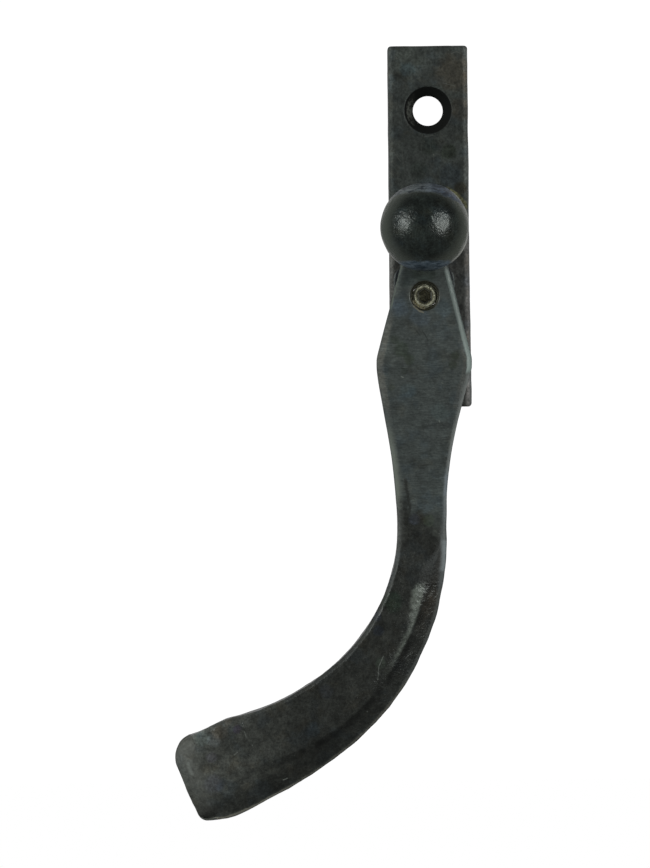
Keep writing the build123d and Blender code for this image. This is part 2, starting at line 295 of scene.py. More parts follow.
def edge_gaps(points):
    """Each point's gaps to the lever's inner and outer edges in front view, and the outer bevel's width."""
    rows = np.array(EDGES[::-1]) * MM
    left = np.interp(points[:, 2], rows[:, 0], rows[:, 1])
    right = np.interp(points[:, 2], rows[:, 0], rows[:, 2])
    _, across, width = along_grip(points)
    head = points[:, 2] > GRIP_Z
    inner = np.where(head, points[:, 0] - left, across + width / 2)
    outer = np.where(head, right - points[:, 0], width / 2 - across)
    width = np.where(head, right - left, width)
    bevel = 1 - smooth(points[:, 2], BEVEL_FOOT, BEVEL_TOP)
    return inner, outer, HEAD_CHAMFER + (BEVEL_LEAST + BEVEL_SHARE * width - HEAD_CHAMFER) * bevel


def end_gap(points):
    """How far each point is inside the outline of the grip's end, which has round corners."""
    down, across, _ = along_grip(points)
    along = GRIP_R1 * GRIP_TURN1 + GRIP_R2 * (GRIP_TURN2 - GRIP_TURN1) + GRIP_STRAIGHT - down
    corner = np.where(across < 0, INNER_CORNER_R, OUTER_CORNER_R)
    out_side = np.maximum(np.abs(across) - (GRIP_MAX_WIDTH / 2 - corner), 0)
    out_end = np.maximum(corner - along, 0)
    return np.where(out_side * out_end > 0, corner - np.hypot(out_side, out_end), along)


def shape_front(points, inner, outer, width, end):
    """How far back to move each point of the lever's front, past the CAD lever's flats."""
    z = points[:, 2]
    crank = 1 - smooth(z, CRANK_FOOT, CRANK_TOP)
    bevel = 1 - smooth(z, BEVEL_FOOT, BEVEL_TOP)
    ridge = outer / width
    share = np.interp(ridge, *zip(*BEVEL_ROUND))
    share += (np.interp(ridge, *zip(*BEVEL_END)) - share) * (1 - smooth(end, 8 * MM, 30 * MM))
    back = BEVEL_DEEP * bevel * (share - np.clip(1 - ridge, 0, 1))
    # Worn bevels beside the shoulder
    left = smooth(z, -50 * MM, -38 * MM) * (1 - smooth(z, -30 * MM, -20 * MM))
    right = smooth(z, -48 * MM, -38 * MM) * (1 - smooth(z, -30 * MM, -24 * MM))
    back += 0.55 * MM * left * np.clip(1 - inner / (2.1 * MM), 0, 1)
    back += 0.35 * MM * right * np.clip(1 - outer / (2.3 * MM), 0, 1)
    # Dressed end
    back += 2.6 * MM * np.clip(1 - end / (4.6 * MM), 0, 1) ** 2 * crank
    middle = HEAD_MIDDLE + (GRIP_MIDDLE - HEAD_MIDDLE) * crank
    return back * smooth(-points[:, 1] - middle, 0.6 * MM, 2.0 * MM)


def noted(mesh, **values):
    """Keeps a number for each point on the mesh, under its name, for the materials to read."""
    for name, numbers in values.items():
        mesh.attributes.new(name, "FLOAT", "POINT").data.foreach_set("value", numbers.astype(np.float32))


def make_lever():
    """Lever: flat head with bevels rubbed by wear, and a hammered grip with a rounded ridge and a dressed
    end.
    """
    piece = remeshed("lever", "lever_forged", voxel=0.27 * MM, rounds=2)
    points = points_of(piece.data)
    inner, outer, width = edge_gaps(points)
    end = end_gap(points)
    front = smooth(-normals_of(piece.data)[:, 1], 0.1, 0.35)
    past = PAINT_REACH * (1 - front)
    noted(piece.data, inner_gap=inner + past, outer_gap=outer + past, ridge=(outer + past) / width)
    noted(piece.data, end_gap=end, front=front)
    points[:, 1] += shape_front(points, inner, outer, width, end)
    grip = 1 - smooth(points[:, 2], HAMMERED_FOOT, HAMMERED_TOP)
    points = softened(piece.data, points, weight=0.1 + 0.9 * grip, rounds=8)
    moved(piece, points)
    normals = normals_of(piece.data)
    free = clear_of(points, 0, 0, 8.5 * MM, 11 * MM) * clear_of(points, 0, LOCK_Z, 4 * MM, 5.5 * MM)
    sides = 1 - np.abs(normals[:, 1])
    push = 0.14 * MM * soft_noise(points, 12 * MM, 1) * (grip + 0.5 * (1 - grip) * sides)
    push += 0.09 * MM * soft_noise(points, 5 * MM, 2) * (grip + 0.3 * (1 - grip) * sides)
    push += (0.02 * MM + 0.14 * MM * smooth(inner - outer, -2 * MM, 2 * MM)) * grip
    push -= 0.1 * MM * (1 - hammer_marks(points, 5 * MM, 1)) * grip
    push += 0.02 * MM * soft_noise(points, 1.2 * MM, 3) * (0.15 + 0.85 * grip)
    push += 0.05 * MM * soft_noise(points, 9 * MM, 4) * (1 - grip)
    # Lump on the inner edge by the end, a thinner stretch before it, a dent past it, and the cut corner
    push += 0.45 * MM * lump(points, -50, -120.5, 4)
    push -= 0.35 * MM * lump(points, -40, -116.5, 8)
    push += 0.15 * MM * lump(points, -49, -121.5, 4) * soft_noise(points, 1.6 * MM, 12) * front
    push -= 0.2 * MM * lump(points, -56, -124.3, 3)
    points += normals * (push * free)[:, None]
    points[:, 2] += 1.05 * MM * lump(points, -52.8, -146.5, 3.2)
    moved(piece, points)
    return piece


def make_ball():
    """Ball knob, with hammer marks."""
    piece = remeshed("ball_knob", "ball_forged", voxel=0.25 * MM, rounds=3)
    points = points_of(piece.data)
    normals = normals_of(piece.data)
    free = smooth(-points[:, 1], HEAD_FRONT, HEAD_FRONT + 2 * MM)
    push = 0.1 * MM * soft_noise(points, 7 * MM, 5)
    push -= 0.06 * MM * (1 - hammer_marks(points, 3.5 * MM, 6))
    push += 0.02 * MM * soft_noise(points, 1.1 * MM, 7)
    moved(piece, points + normals * (push * free)[:, None])
    return piece


def make_plate():
    """Backplate: forged flat bar, flat behind, whose lower right edge spreads a little."""
    piece = remeshed("backplate", "plate_forged", voxel=0.3 * MM, rounds=3)
    points = points_of(piece.data)
    normals = normals_of(piece.data)
    free = smooth(-points[:, 1], 0.2 * MM, 1.5 * MM)
    free *= clear_of(points, 0, 0, 8.5 * MM, 10 * MM) * clear_of(points, 0, LOCK_Z, 4 * MM, 5 * MM)
    for z in (LOWER_HOLE_Z, UPPER_HOLE_Z):
        free *= clear_of(points, PLATE_X, z, 6 * MM, 7 * MM)
    push = 0.06 * MM * soft_noise(points, 11 * MM, 8)
    push += 0.04 * MM * soft_noise(points, 4 * MM, 9)
    push += 0.012 * MM * soft_noise(points, 1.1 * MM, 10)
    points += normals * (push * free)[:, None]
    right = smooth(points[:, 0], 5 * MM, 11 * MM)
    points[:, 0] += 0.35 * MM * right * (1 - smooth(points[:, 2], -42 * MM, -10 * MM))
    points[:, 2] += 0.15 * MM * smooth(points[:, 2], 38 * MM, 45 * MM)
    moved(piece, points)
    return piece


def make_lug():
    """Locking lug behind the lever's neck."""
    piece = remeshed("locking_lug", "lug_forged", voxel=0.25 * MM, rounds=4)
    points = points_of(piece.data)
    normals = normals_of(piece.data)
    free = clear_of(points, 0, LOCK_Z, 4 * MM, 5.5 * MM) * (1 - np.abs(normals[:, 1]))
    push = 0.12 * MM * soft_noise(points, 5 * MM, 11)
    moved(piece, points + normals * (push * free)[:, None])
    return piece


class Finish:
    """A node material under construction, in metres. Textures, strokes and fades are sized in mm."""

    def __init__(self, name, metallic=0.0):
        self.data = bpy.data.materials.new(name)
        self.data.use_nodes = True
        self.tree = self.data.node_tree
        self.shader = self.tree.nodes["Principled BSDF"]
        self.shader.inputs["Metallic"].default_value = metallic
        self.place = self.node("ShaderNodeTexCoord").outputs["Object"]
        axes = self.node("ShaderNodeSeparateXYZ", self.place).outputs
        self.x, self.y, self.z = axes["X"], axes["Y"], axes["Z"]

    def node(self, kind, *sources, **settings):
        """A node of that kind, whose first inputs are fed from the sources."""
        made = self.tree.nodes.new(kind)
        for key, value in settings.items():
            setattr(made, key, value)
        for socket, source in zip(made.inputs, sources):
            self.feed(socket, source)
        return made

    def feed(self, socket, source):
        """Links the source to the socket, or sets the socket to it where it is a number or a colour."""
        if isinstance(source, bpy.types.NodeSocket):
            self.tree.links.new(source, socket)
        elif isinstance(source, tuple) and socket.type == "RGBA":
            socket.default_value = (*source, 1)
        elif source is not None:
            socket.default_value = source

    def calc(self, operation, a, b=None, c=None):
        """The result of one sum."""
        return self.node("ShaderNodeMath", a, b, c, operation=operation).outputs[0]

    def product(self, a, b):
        """One number times another."""
        return self.calc("MULTIPLY", a, b)

    def product_plus(self, a, b, c):
        """One number times another, and a third added."""
        return self.calc("MULTIPLY_ADD", a, b, c)

    def most(self, a, b):
        """The larger of two numbers."""
        return self.calc("MAXIMUM", a, b)

    def mixed(self, share, a, b):
        """Number a with that share of number b."""
        return self.node("ShaderNodeMix", share, None, a, b).outputs[0]

    def vector(self, operation, *sources):
        """The outputs of one sum of vectors."""
        return self.node("ShaderNodeVectorMath", *sources, operation=operation).outputs

    def spread(self, value, low, high, start=0.0, stop=1.0):
        """start where the value is at low, and stop at high, with no kink at either."""
        ends = (low, high, start, stop)
        made = self.node("ShaderNodeMapRange", value, *ends, interpolation_type="SMOOTHSTEP", clamp=False)
        return made.outputs[0]

    def fade(self, value, low, high, start=0.0, stop=1.0):
        """As spread, where low and high are in mm."""
        return self.spread(value, low * MM, high * MM, start, stop)

    def between(self, value, low, high, fade):
        """1 where the value is from low to high in mm, fading to 0 past them."""
        start = self.spread(value, low * MM - fade * MM, low * MM)
        return self.product(start, self.spread(value, high * MM + fade * MM, high * MM))

    def scaled(self, size):
        """The place on the object in units of size, which is in mm, one number or one for each axis."""
        sizes = size if isinstance(size, tuple) else (size, size, size)
        made = self.node("ShaderNodeMapping", self.place)
        made.inputs["Scale"].default_value = tuple(1 / (length * MM) for length in sizes)
        return made.outputs[0]

    def noise(self, size, detail, rough, seed):
        """Noise from 0 to 1, mostly 0.3 to 0.7, whose swells are about size across."""
        made = self.node("ShaderNodeTexNoise", self.scaled(size), noise_dimensions="4D")
        made.inputs["W"].default_value = seed
        made.inputs["Scale"].default_value = 1.0
        made.inputs["Detail"].default_value = detail
        made.inputs["Roughness"].default_value = rough
        return made.outputs[0]

    def stroke(self, width, *places, soft=False):
        """1 on a ragged or soft line through places of x and z, fading to 0 at half its width, all in mm."""
        flat = self.node("ShaderNodeCombineXYZ", self.x, 0.0, self.z).outputs[0]
        nearest = None
        for (x, z), (next_x, next_z) in zip(places, places[1:]):
            start = (x * MM, 0, z * MM)
            run = ((next_x - x) * MM, 0, (next_z - z) * MM)
            offset = self.vector("SUBTRACT", flat, start)[0]
            dot = self.vector("DOT_PRODUCT", offset, run)["Value"]
            share = self.node("ShaderNodeClamp", self.calc("DIVIDE", dot, run[0] ** 2 + run[2] ** 2))
            foot = self.node("ShaderNodeVectorMath", run, operation="SCALE")
            self.feed(foot.inputs["Scale"], share.outputs[0])
            apart = self.vector("DISTANCE", offset, foot.outputs[0])["Value"]
            nearest = apart if nearest is None else self.calc("MINIMUM", nearest, apart)
        if soft:
            return self.spread(nearest, width / 2 * MM, 0)
        wobble = self.product_plus(self.noise(0.8, 3, 0.6, 91.0), width * MM, nearest)
        return self.fade(wobble, width, width * 0.6)

    def strokes(self, *strokes):
        """The strongest of several ragged strokes, each a strength, a width and its places."""
        strongest = None
        for strength, width, *places in strokes:
            mark = self.stroke(width, *places)
            if strength != 1:
                mark = self.product(mark, strength)
            strongest = mark if strongest is None else self.most(strongest, mark)
        return strongest

    def kept(self, name):
        """The number that the mesh keeps under that name."""
        return self.node("ShaderNodeAttribute", attribute_name=name).outputs["Fac"]

    def specks(self, size, share, radius, seed):
        """1 in small dots, one for each cell of that size in that share of the cells."""
        made = self.node("ShaderNodeTexVoronoi", self.scaled(size), voronoi_dimensions="4D")
        made.inputs["W"].default_value = seed
        made.inputs["Scale"].default_value = 1.0
        dot = self.spread(made.outputs["Distance"], radius, radius * 0.3)
        pick = self.node("ShaderNodeSeparateColor", made.outputs["Color"]).outputs[0]
        return self.product(dot, self.calc("LESS_THAN", pick, share))

    def away(self, x, z, ragged=0.0):
        """Distance from an axis along Y through x and z, with a ragged wobble of that size."""
        across = self.calc("SUBTRACT", self.x, x)
        up = self.calc("SUBTRACT", self.z, z)
        flat = self.node("ShaderNodeCombineXYZ", across, 0.0, up).outputs[0]
        distance = self.vector("LENGTH", flat)["Value"]
        if not ragged:
            return distance
        return self.product_plus(self.noise(2, 4, 0.6, 90.0), ragged, distance)

    def blend(self, share, a, b, mode="MIX"):
        """Colour a with that share of colour b."""
        made = self.node("ShaderNodeMix", data_type="RGBA", blend_type=mode)
        self.feed(made.inputs[0], share)
        self.feed(made.inputs[6], a)
        self.feed(made.inputs[7], b)
        return made.outputs[2]

    def tinted(self, colour, share, tint):
        """The colour, multiplied by that share of the tint."""
        return self.blend(share, colour, tint, "MULTIPLY")

    def times(self, colour, share, start, stop):
        """The colour, start times as bright where the share is 0, and stop times where it is 1."""
        if start == 1:
            return self.tinted(colour, share, (stop, stop, stop))
        tint = self.blend(share, (start, start, start), (stop, stop, stop))
        return self.tinted(colour, 1.0, tint)

    def patches(self, colour, *patches):
        """The colour, tinted in round ragged patches: each has x, z and radius in mm, and a tint."""
        for x, z, radius, tint in patches:
            distance = self.away(x * MM, z * MM, radius * MM)
            share = self.fade(distance, radius * 1.7, radius * 1.1)
            colour = self.tinted(colour, share, tint)
        return colour

    def clouded(self, colour, size, amount, seed, detail=3.0, rough=0.6):
        """The colour, lighter and darker by up to that amount in clouds about size across."""
        cloud = self.noise(size, detail, rough, seed)
        return self.times(colour, self.spread(cloud, *NOISE_RANGE), 1 - amount, 1 + amount)

    def waxed(self, colour, seed, cloud=0.3, tint=0.8):
        """The colour, clouded at several sizes, with bluish and brownish patches."""
        colour = self.clouded(colour, 8, cloud * 0.7, seed)
        colour = self.clouded(colour, 2.2, cloud * 1.15, seed + 1, 5, 0.65)
        colour = self.clouded(colour, 0.6, cloud, seed + 2)
        bluish = self.spread(self.noise(5.5, 4, 0.55, seed + 3), 0.5, 0.64, 0.0, tint)
        colour = self.tinted(colour, bluish, (0.86, 1.0, 1.2))
        brownish = self.spread(self.noise(5, 4, 0.6, seed + 4), 0.52, 0.66, 0.0, tint)
        return self.tinted(colour, brownish, (1.12, 1.0, 0.86))

    def finished(self, colour, roughness, height, depth):
        """Feeds the shader, with height, from 0 to 1, as bumps up to depth high."""
        self.feed(self.shader.inputs["Base Color"], colour)
        self.feed(self.shader.inputs["Roughness"], roughness)
        bump = self.node("ShaderNodeBump")
        bump.inputs["Distance"].default_value = depth
        self.feed(bump.inputs["Height"], height)
        self.feed(self.shader.inputs["Normal"], bump.outputs[0])
        return self.data


def plate_finish():
    """Plate: patchy, scratched, brown at the upper right, rubbed beside the ball, with painted shade near
    black in the holes, painted highlights along its edges and painted light on its lower part.
    """
    look = Finish("forged_plate")
    look.shader.inputs["Specular IOR Level"].default_value = 0.3
    colour = look.waxed(PLATE_COLOUR, 10.0, cloud=0.34, tint=0.5)
    colour = look.times(colour, look.fade(look.z, 26, 44), 0.95, 1.25)
    # Painted light: the plate's lower part, beside the lever, lightened against the shade the lever's head
    # casts there
    colour = look.tinted(colour, look.fade(look.z, 2, -4), (2.1, 1.88, 1.92))
    colour = look.patches(
        colour,
        (8, 39, 5.0, (1.12, 0.92, 0.78)),
        (9.5, 30, 3.0, (1.14, 0.94, 0.82)),
        (-6.2, 38.5, 1.3, (0.62, 0.6, 0.55)),
        (-3.7, 40, 2, (0.85, 1.0, 1.15)),
        (7.0, 13.6, 3.0, (0.95, 1.05, 1.22)),
        (9.3, 10.4, 1.6, (0.8, 0.68, 0.5)),
        (1.5, 11.5, 2.0, (0.95, 1.05, 1.2)),
        (6.5, 19.5, 2.2, (0.62, 0.68, 0.56)),
        (1.5, 20.8, 2.4, (0.72, 0.78, 0.72)),
        (-1, 15, 2.2, (0.8, 0.86, 0.82)),
        (-3.5, 42.5, 4.0, (1.22, 1.22, 1.18)),
        (10.8, -37.6, 1.7, (1.6, 1.6, 1.55)),
    )
    scratch = look.noise((0.18, 0.18, 4), 3, 0.5, 14.0)
    scratched = look.spread(look.noise(7, 2, 0.5, 15.0), 0.4, 0.6)
    scratched = look.product(look.spread(scratch, 0.58, 0.7, 0.0, 0.5), scratched)
    colour = look.blend(scratched, colour, (0.09, 0.095, 0.085))
    marks = look.strokes(
        (1, 0.3, (5.2, 36.6), (8.2, 35.8)),
        (1, 0.4, (-6.6, 43.4), (-6.2, 42.7)),
        (1, 0.3, (7.3, 43.9), (8.7, 44.4), (9.8, 43.8)),
        (0.6, 0.3, (-7.2, 19.4), (-5.6, 17.2)),
        (0.5, 0.3, (-5.2, 20.8), (-4.9, 16.6)),
        (0.6, 0.4, (0.4, 23.2), (2.6, 23.6)),
    )
    colour = look.blend(look.product(marks, 0.55), colour, (0.11, 0.11, 0.10))
    colour = look.blend(look.product(look.specks(2.2, 0.25, 0.12, 3.0), 0.6), colour, (0.16, 0.16, 0.14))
    # Painted highlights: the plate's edges lighter, more at its right, and a brighter painted highlight
    # along their front corners
    side = look.calc("ABSOLUTE", look.calc("SUBTRACT", look.x, PLATE_X))
    edge = look.fade(look.product_plus(look.noise(1.5, 3, 0.5, 16.0), 0.8 * MM, side), 8.9, 9.7)
    right = look.spread(look.x, PLATE_X - 2 * MM, PLATE_X + 2 * MM)
    colour = look.tinted(colour, edge, look.blend(right, (1.8, 1.75, 1.75), (2.95, 2.8, 2.9)))
    corner = look.product(look.fade(side, 9.7, 9.85), look.fade(look.y, -3.9, -4.6))
    colour = look.blend(corner, colour, (0.16, 0.155, 0.16))
    rough = look.spread(look.noise(1.6, 5, 0.6, 12.0), *NOISE_RANGE, 0.4, 0.56)
    rough = look.mixed(edge, rough, 0.7)
    # Painted shade: near black in the fixing holes' countersinks, with lighter scuffs on the upper one's
    # left side
    scuffs = look.spread(look.noise((0.7, 0.7, 0.9), 4, 0.6, 17.0), 0.4, 0.58, 0.1, 1.0)
    scuffs = look.product(scuffs, look.fade(look.x, -1.6, -3.4))
    scuffs = look.product(scuffs, look.fade(look.away(PLATE_X, UPPER_HOLE_Z, 0.4 * MM), 5.75, 5.4))
    inside = look.blend(scuffs, (0.0005, 0.0008, 0.0004), (0.078, 0.078, 0.07))
    inward = look.fade(look.y, -0.1, -0.4)
    for z in (LOWER_HOLE_Z, UPPER_HOLE_Z):
        hole = look.spread(look.away(PLATE_X, z), SINK_R + 0.05 * MM, SINK_R - 0.15 * MM)
        hole = look.product(hole, inward)
        colour = look.blend(hole, colour, inside)
        rough = look.mixed(hole, rough, 0.85)
    arc = look.fade(look.product_plus(look.x, -0.1, look.away(0, 0, 0.9 * MM)), 12.3, 12.0)
    arc = look.product(arc, look.fade(look.x, 5.4, 6.6))
    arc = look.product(arc, look.fade(look.z, 4.6, 5.8))
    arc = look.product(arc, look.fade(look.y, -4.2, -4.8))
    rubbed = look.spread(look.noise(0.8, 3, 0.6, 18.0), 0.4, 0.6)
    rubbed = look.blend(rubbed, (0.052, 0.048, 0.026), (0.14, 0.132, 0.072))
    colour = look.blend(arc, colour, rubbed)
    return look.finished(colour, rough, look.noise(0.7, 3, 0.5, 13.0), 0.12 * MM)


def head_colour(look, inner, outer):
    """The lever's head and taper: finely scratched and patchy, with painted highlights along its edges,
    painted shade under the ball and in two creases, and a countersink darkened with painted shade.
    """
    colour = look.waxed(HEAD_COLOUR, 21.0, cloud=0.2, tint=0.45)
    colour = look.times(colour, look.fade(look.z, -42, -48), 1.1, 1.0)
    colour = look.times(colour, look.fade(look.z, -56, -68), 1.0, 1.28)
    colour = look.patches(
        colour,
        (-8.6, -30.5, 4.0, (1.2, 1.18, 1.15)),
        (-6.0, -29.8, 2.0, (0.62, 0.68, 0.58)),
        (-4.0, -32.4, 1.6, (0.66, 0.72, 0.60)),
        (-7.5, -27.5, 1.2, (0.7, 0.74, 0.66)),
        (-5.3, -35.2, 1.0, (0.8, 0.82, 0.76)),
        (-8.4, -39.3, 1.0, (0.82, 0.82, 0.74)),
        (7.4, -31.6, 1.2, (0.66, 0.70, 0.60)),
        (6.8, -33.9, 1.2, (0.66, 0.70, 0.60)),
        (-6.3, -19.6, 2.6, (1.08, 1.16, 1.34)),
        (-1.2, -21.8, 2.6, (1.08, 1.14, 1.3)),
        (4.6, -19.9, 2.2, (1.0, 1.1, 1.2)),
        # Painted shade under the ball: the next two patches
        (0, -10.6, 3.4, (0.5, 0.56, 0.5)),
        (-4.7, -12.4, 2.6, (0.68, 0.74, 0.74)),
        (-5.3, -16.4, 1.2, (0.8, 0.84, 0.9)),
        (3.4, -45.5, 2.4, (1.06, 1.14, 1.16)),
        (-4.4, -40.2, 2.0, (1.04, 1.14, 1.2)),
    )
    lines = look.noise((2.2, 2.2, 0.2), 3, 0.55, 28.0)
    colour = look.times(colour, look.spread(lines, *NOISE_RANGE), 0.76, 1.24)
    grain = look.noise((0.9, 0.9, 0.3), 3, 0.6, 27.0)
    colour = look.times(colour, look.spread(grain, *NOISE_RANGE), 0.84, 1.16)
    # The V scratch, then painted shade along two creases across the taper
    dark = look.strokes(
        (1, 0.35, (-2.1, -25.4), (-1.3, -26.5)),
        (1, 0.4, (-0.8, -25.2), (0, -26.4), (0.7, -27.8)),
        (0.55, 0.9, (-7.5, -48.2), (-4.4, -48.2), (-1.6, -49.3), (0.7, -49), (2.9, -48.3), (5.6, -49.1)),
        (0.6, 0.3, (-5.7, -53.1), (-4.4, -53.8), (-1.1, -53.9)),
    )
    colour = look.times(colour, dark, 1.0, 0.42)
    wobble = look.noise(1.6, 4, 0.6, 32.0)
    left = look.product_plus(wobble, 0.9 * MM, inner)
    right = look.product_plus(wobble, 0.5 * MM, outer)
    # Painted highlights on the bevels beside the shoulder, left and right
    strip = look.product(look.fade(left, 2.5, 1.7), look.between(look.z, -43, -25, 5))
    colour = look.tinted(colour, strip, (1.75, 1.55, 1.45))
    strip = look.product(look.fade(right, 2.8, 2.1), look.between(look.z, -43, -29, 3))
    colour = look.tinted(colour, strip, (1.25, 1.15, 1.1))
    # Painted highlights along the right edge: the chamfer by the head, brighter lower down, and the taper's
    # edge below it
    rim = look.product(look.fade(right, 1.75, 1.3), look.between(look.z, -35, -11, 1.5))
    bright = look.times((0.145, 0.170, 0.164), look.fade(look.z, -20, -35), 1.0, 2.0)
    colour = look.blend(rim, colour, bright)
    rim = look.product(look.fade(right, 1.3, 0.4), look.fade(look.z, -35, -37))
    colour = look.blend(rim, colour, (0.23, 0.235, 0.235))
    rim = look.product(look.fade(right, 1.6, 0.7), look.between(look.z, -84, -60, 2))
    bright = look.most(look.between(look.z, -65.5, -61.5, 1), look.between(look.z, -84, -77.5, 1))
    rim = look.product(rim, look.spread(bright, 0.0, 1.0, 0.35, 1.0))
    colour = look.blend(rim, colour, (0.20, 0.22, 0.25))
    # Painted highlight along the taper's left edge
    rim = look.product(look.fade(left, 2.6, 0.8), look.fade(look.z, -44, -56))
    colour = look.blend(rim, colour, (0.145, 0.156, 0.138))
    glints = look.strokes(
        (1, 0.45, (-6.0, -36.6), (-5.5, -36.9)),
        (1, 0.35, (4.0, -38.3), (4.3, -38.4)),
        (1, 0.35, (3.3, -47.6), (3.4, -48.0)),
    )
    colour = look.blend(glints, colour, (0.14, 0.15, 0.14))
    # Painted highlight along the neck's left edge
    line = look.product(look.fade(left, 1.1, 0.8), look.between(look.z, -19, -9, 1.5))
    colour = look.blend(line, colour, (0.11, 0.125, 0.11))
    # Painted shade in the countersink round the locking screw, with lighter rings
    sunk = look.away(0, LOCK_Z, 0.5 * MM)
    rings = look.product_plus(look.noise(1.2, 4, 0.65, 38.0), 9, look.product(sunk, 15 / MM))
    rings = look.calc("SINE", rings)
    darkening = look.blend(look.spread(rings, 0.1, 1.0), (0.006, 0.006, 0.003), (0.045, 0.041, 0.026))
    colour = look.blend(look.spread(sunk, LOCK_SINK_R + 0.45 * MM, LOCK_SINK_R + 0.1 * MM), colour, darkening)
    # Painted highlight where the countersink's lower left edge catches the light
    countersink_glint = look.strokes(
        (1, 0.5, (-2.9, -17.95), (-2.4, -18.7), (-1.75, -19.3), (-0.9, -19.7), (-0.1, -19.8)),
        (0.7, 0.6, (-2.7, -19.3), (-1.3, -20.5), (-0.4, -20.8)),
    )
    return look.blend(countersink_glint, colour, (0.20, 0.175, 0.13)), lines


def grip_colour(look, inner, outer, ridge, end):
    """The lever's grip: dark and pitted, with painted shade beside its ridge, a painted highlight down its
    ridge and along its rims, light specks and a lighter end with painted highlights.
    """
    colour = look.waxed(GRIP_COLOUR, 25.0, cloud=0.32, tint=0.55)
    colour = look.patches(
        colour,
        (-3.2, -71.8, 1.5, (1.5, 1.6, 2.1)),
        (0.5, -72.1, 1.5, (1.5, 1.75, 1.45)),
        (1.9, -66.6, 1.5, (1.2, 1.45, 1.5)),
        (0.2, -69.5, 3.2, (1.3, 1.3, 1.25)),
        (3.2, -74.5, 2.6, (1.9, 1.95, 1.95)),
        (4.4, -67.5, 2.4, (1.7, 1.7, 1.7)),
        (-11.8, -107.0, 1.4, (1.3, 1.5, 1.35)),
        (-8.8, -91.9, 2.6, (0.88, 1.18, 1.0)),
        (-12.6, -95.5, 1.3, (0.85, 0.95, 1.3)),
        (-12.4, -99, 1.4, (0.85, 0.95, 1.3)),
        (-25.3, -113.8, 1.8, (1.0, 1.05, 1.25)),
        (-28.8, -123.1, 2.0, (0.95, 1.06, 1.2)),
        (-51.3, -123.4, 2.0, (1.35, 1.25, 1.22)),
        (-49.4, -121, 1.0, (1.25, 1.15, 1.1)),
        (-47.2, -122.8, 1.1, (1.0, 0.85, 1.15)),
        (-55.8, -124.8, 2.0, (1.7, 1.85, 1.9)),
        (-52.9, -125.4, 1.6, (1.7, 1.75, 1.9)),
        (-53.4, -129.6, 1.4, (1.25, 1.2, 1.4)),
        (-53.0, -136.2, 2.6, (1.2, 1.2, 1.4)),
    )
    # Painted shade: a darker band just outside the ridge, below its lip
    far = look.product_plus(look.fade(end, 46, 14), -0.45, ridge)
    band = look.product(look.spread(far, 0.56, 0.78), look.spread(far, 1.04, 0.94))
    band = look.product(band, look.spread(look.noise(4, 3, 0.5, 33.0), 0.32, 0.5))
    band = look.product(band, look.fade(end, 8, 27))
    colour = look.times(colour, band, 1.0, 0.45)
    # Painted shade where the ridge begins, against the light its bevel catches from the right lamp
    start = look.product(look.between(look.z, -88, -78, 2), look.spread(ridge, 2.2, 1.5))
    colour = look.times(colour, start, 1.0, 0.55)
    foot = look.product(look.spread(ridge, 0.95, 0.7), look.fade(end, 45, 20))
    colour = look.times(colour, foot, 1.0, 0.6)
    # Painted highlight: a light streak down the ridge, where its rounding catches the right lamp
    inmost = look.fade(look.z, -90, -99, 1.68, 1.28)
    wavy = look.product_plus(look.noise(1.2, 4, 0.65, 35.0), 0.4, ridge)
    streak = look.calc("SUBTRACT", inmost, wavy)
    streak = look.product(look.spread(streak, -0.3, 0.02), look.spread(ridge, 0.97, 1.14))
    streak = look.product(streak, look.fade(look.z, -111, -101))
    streak = look.product(streak, look.fade(look.z, -86.8, -89))
    streak = look.product(streak, look.spread(look.noise(0.7, 4, 0.65, 36.0), 0.34, 0.62, 0.3, 1.0))
    colour = look.blend(streak, colour, (0.190, 0.205, 0.184))
    brown = look.product(look.spread(ridge, 1.0, 0.85), look.fade(look.z, -102, -92))
    colour = look.tinted(colour, brown, (1.15, 0.95, 0.85))
    # Painted highlights along the grip's outer and inner rims
    wobble = look.noise(1.6, 4, 0.6, 34.0)
    right = look.product_plus(wobble, 0.6 * MM, outer)
    left = look.product_plus(wobble, 0.6 * MM, inner)
    colour = look.times(colour, look.fade(right, 1.3, 0.6), 1.0, 1.5)
    colour = look.times(colour, look.fade(left, 0.9, 0.3), 1.0, 1.9)
    strip = look.product(look.fade(left, 1.7, 1.0), look.between(look.z, -88, -66, 4))
    colour = look.tinted(colour, strip, (1.7, 1.7, 1.75))
    rim = look.product(look.fade(right, 2.0, 0.6), look.between(look.z, -88, -60, 3))
    bright = look.between(look.z, -84, -77.5, 1)
    rim = look.product(rim, look.spread(bright, 0.0, 1.0, 0.4, 1.0))
    colour = look.blend(rim, colour, (0.25, 0.27, 0.29))
    rim = look.product(look.fade(right, 1.4, 0.5), look.between(look.z, -112, -90, 3))
    colour = look.blend(rim, colour, (0.085, 0.088, 0.085))
    rim = look.product(look.fade(right, 1.0, 0.6), look.fade(look.z, -108, -114))
    colour = look.blend(rim, colour, (0.13, 0.122, 0.105))
    colour = look.times(colour, look.fade(end, 36, 10), 1.0, 2.2)
    high = look.product(look.fade(end, 12, 4), look.fade(look.z, -143, -133))
    colour = look.times(colour, high, 1.0, 1.5)
    ground = look.clouded(look.clouded((0.130, 0.128, 0.118), 0.6, 0.3, 39.0), 2.2, 0.3, 48.0)
    low = look.fade(look.z, -134, -140, 0.5, 0.25)
    colour = look.blend(look.product(look.fade(end, 7, 2.5), low), colour, ground)
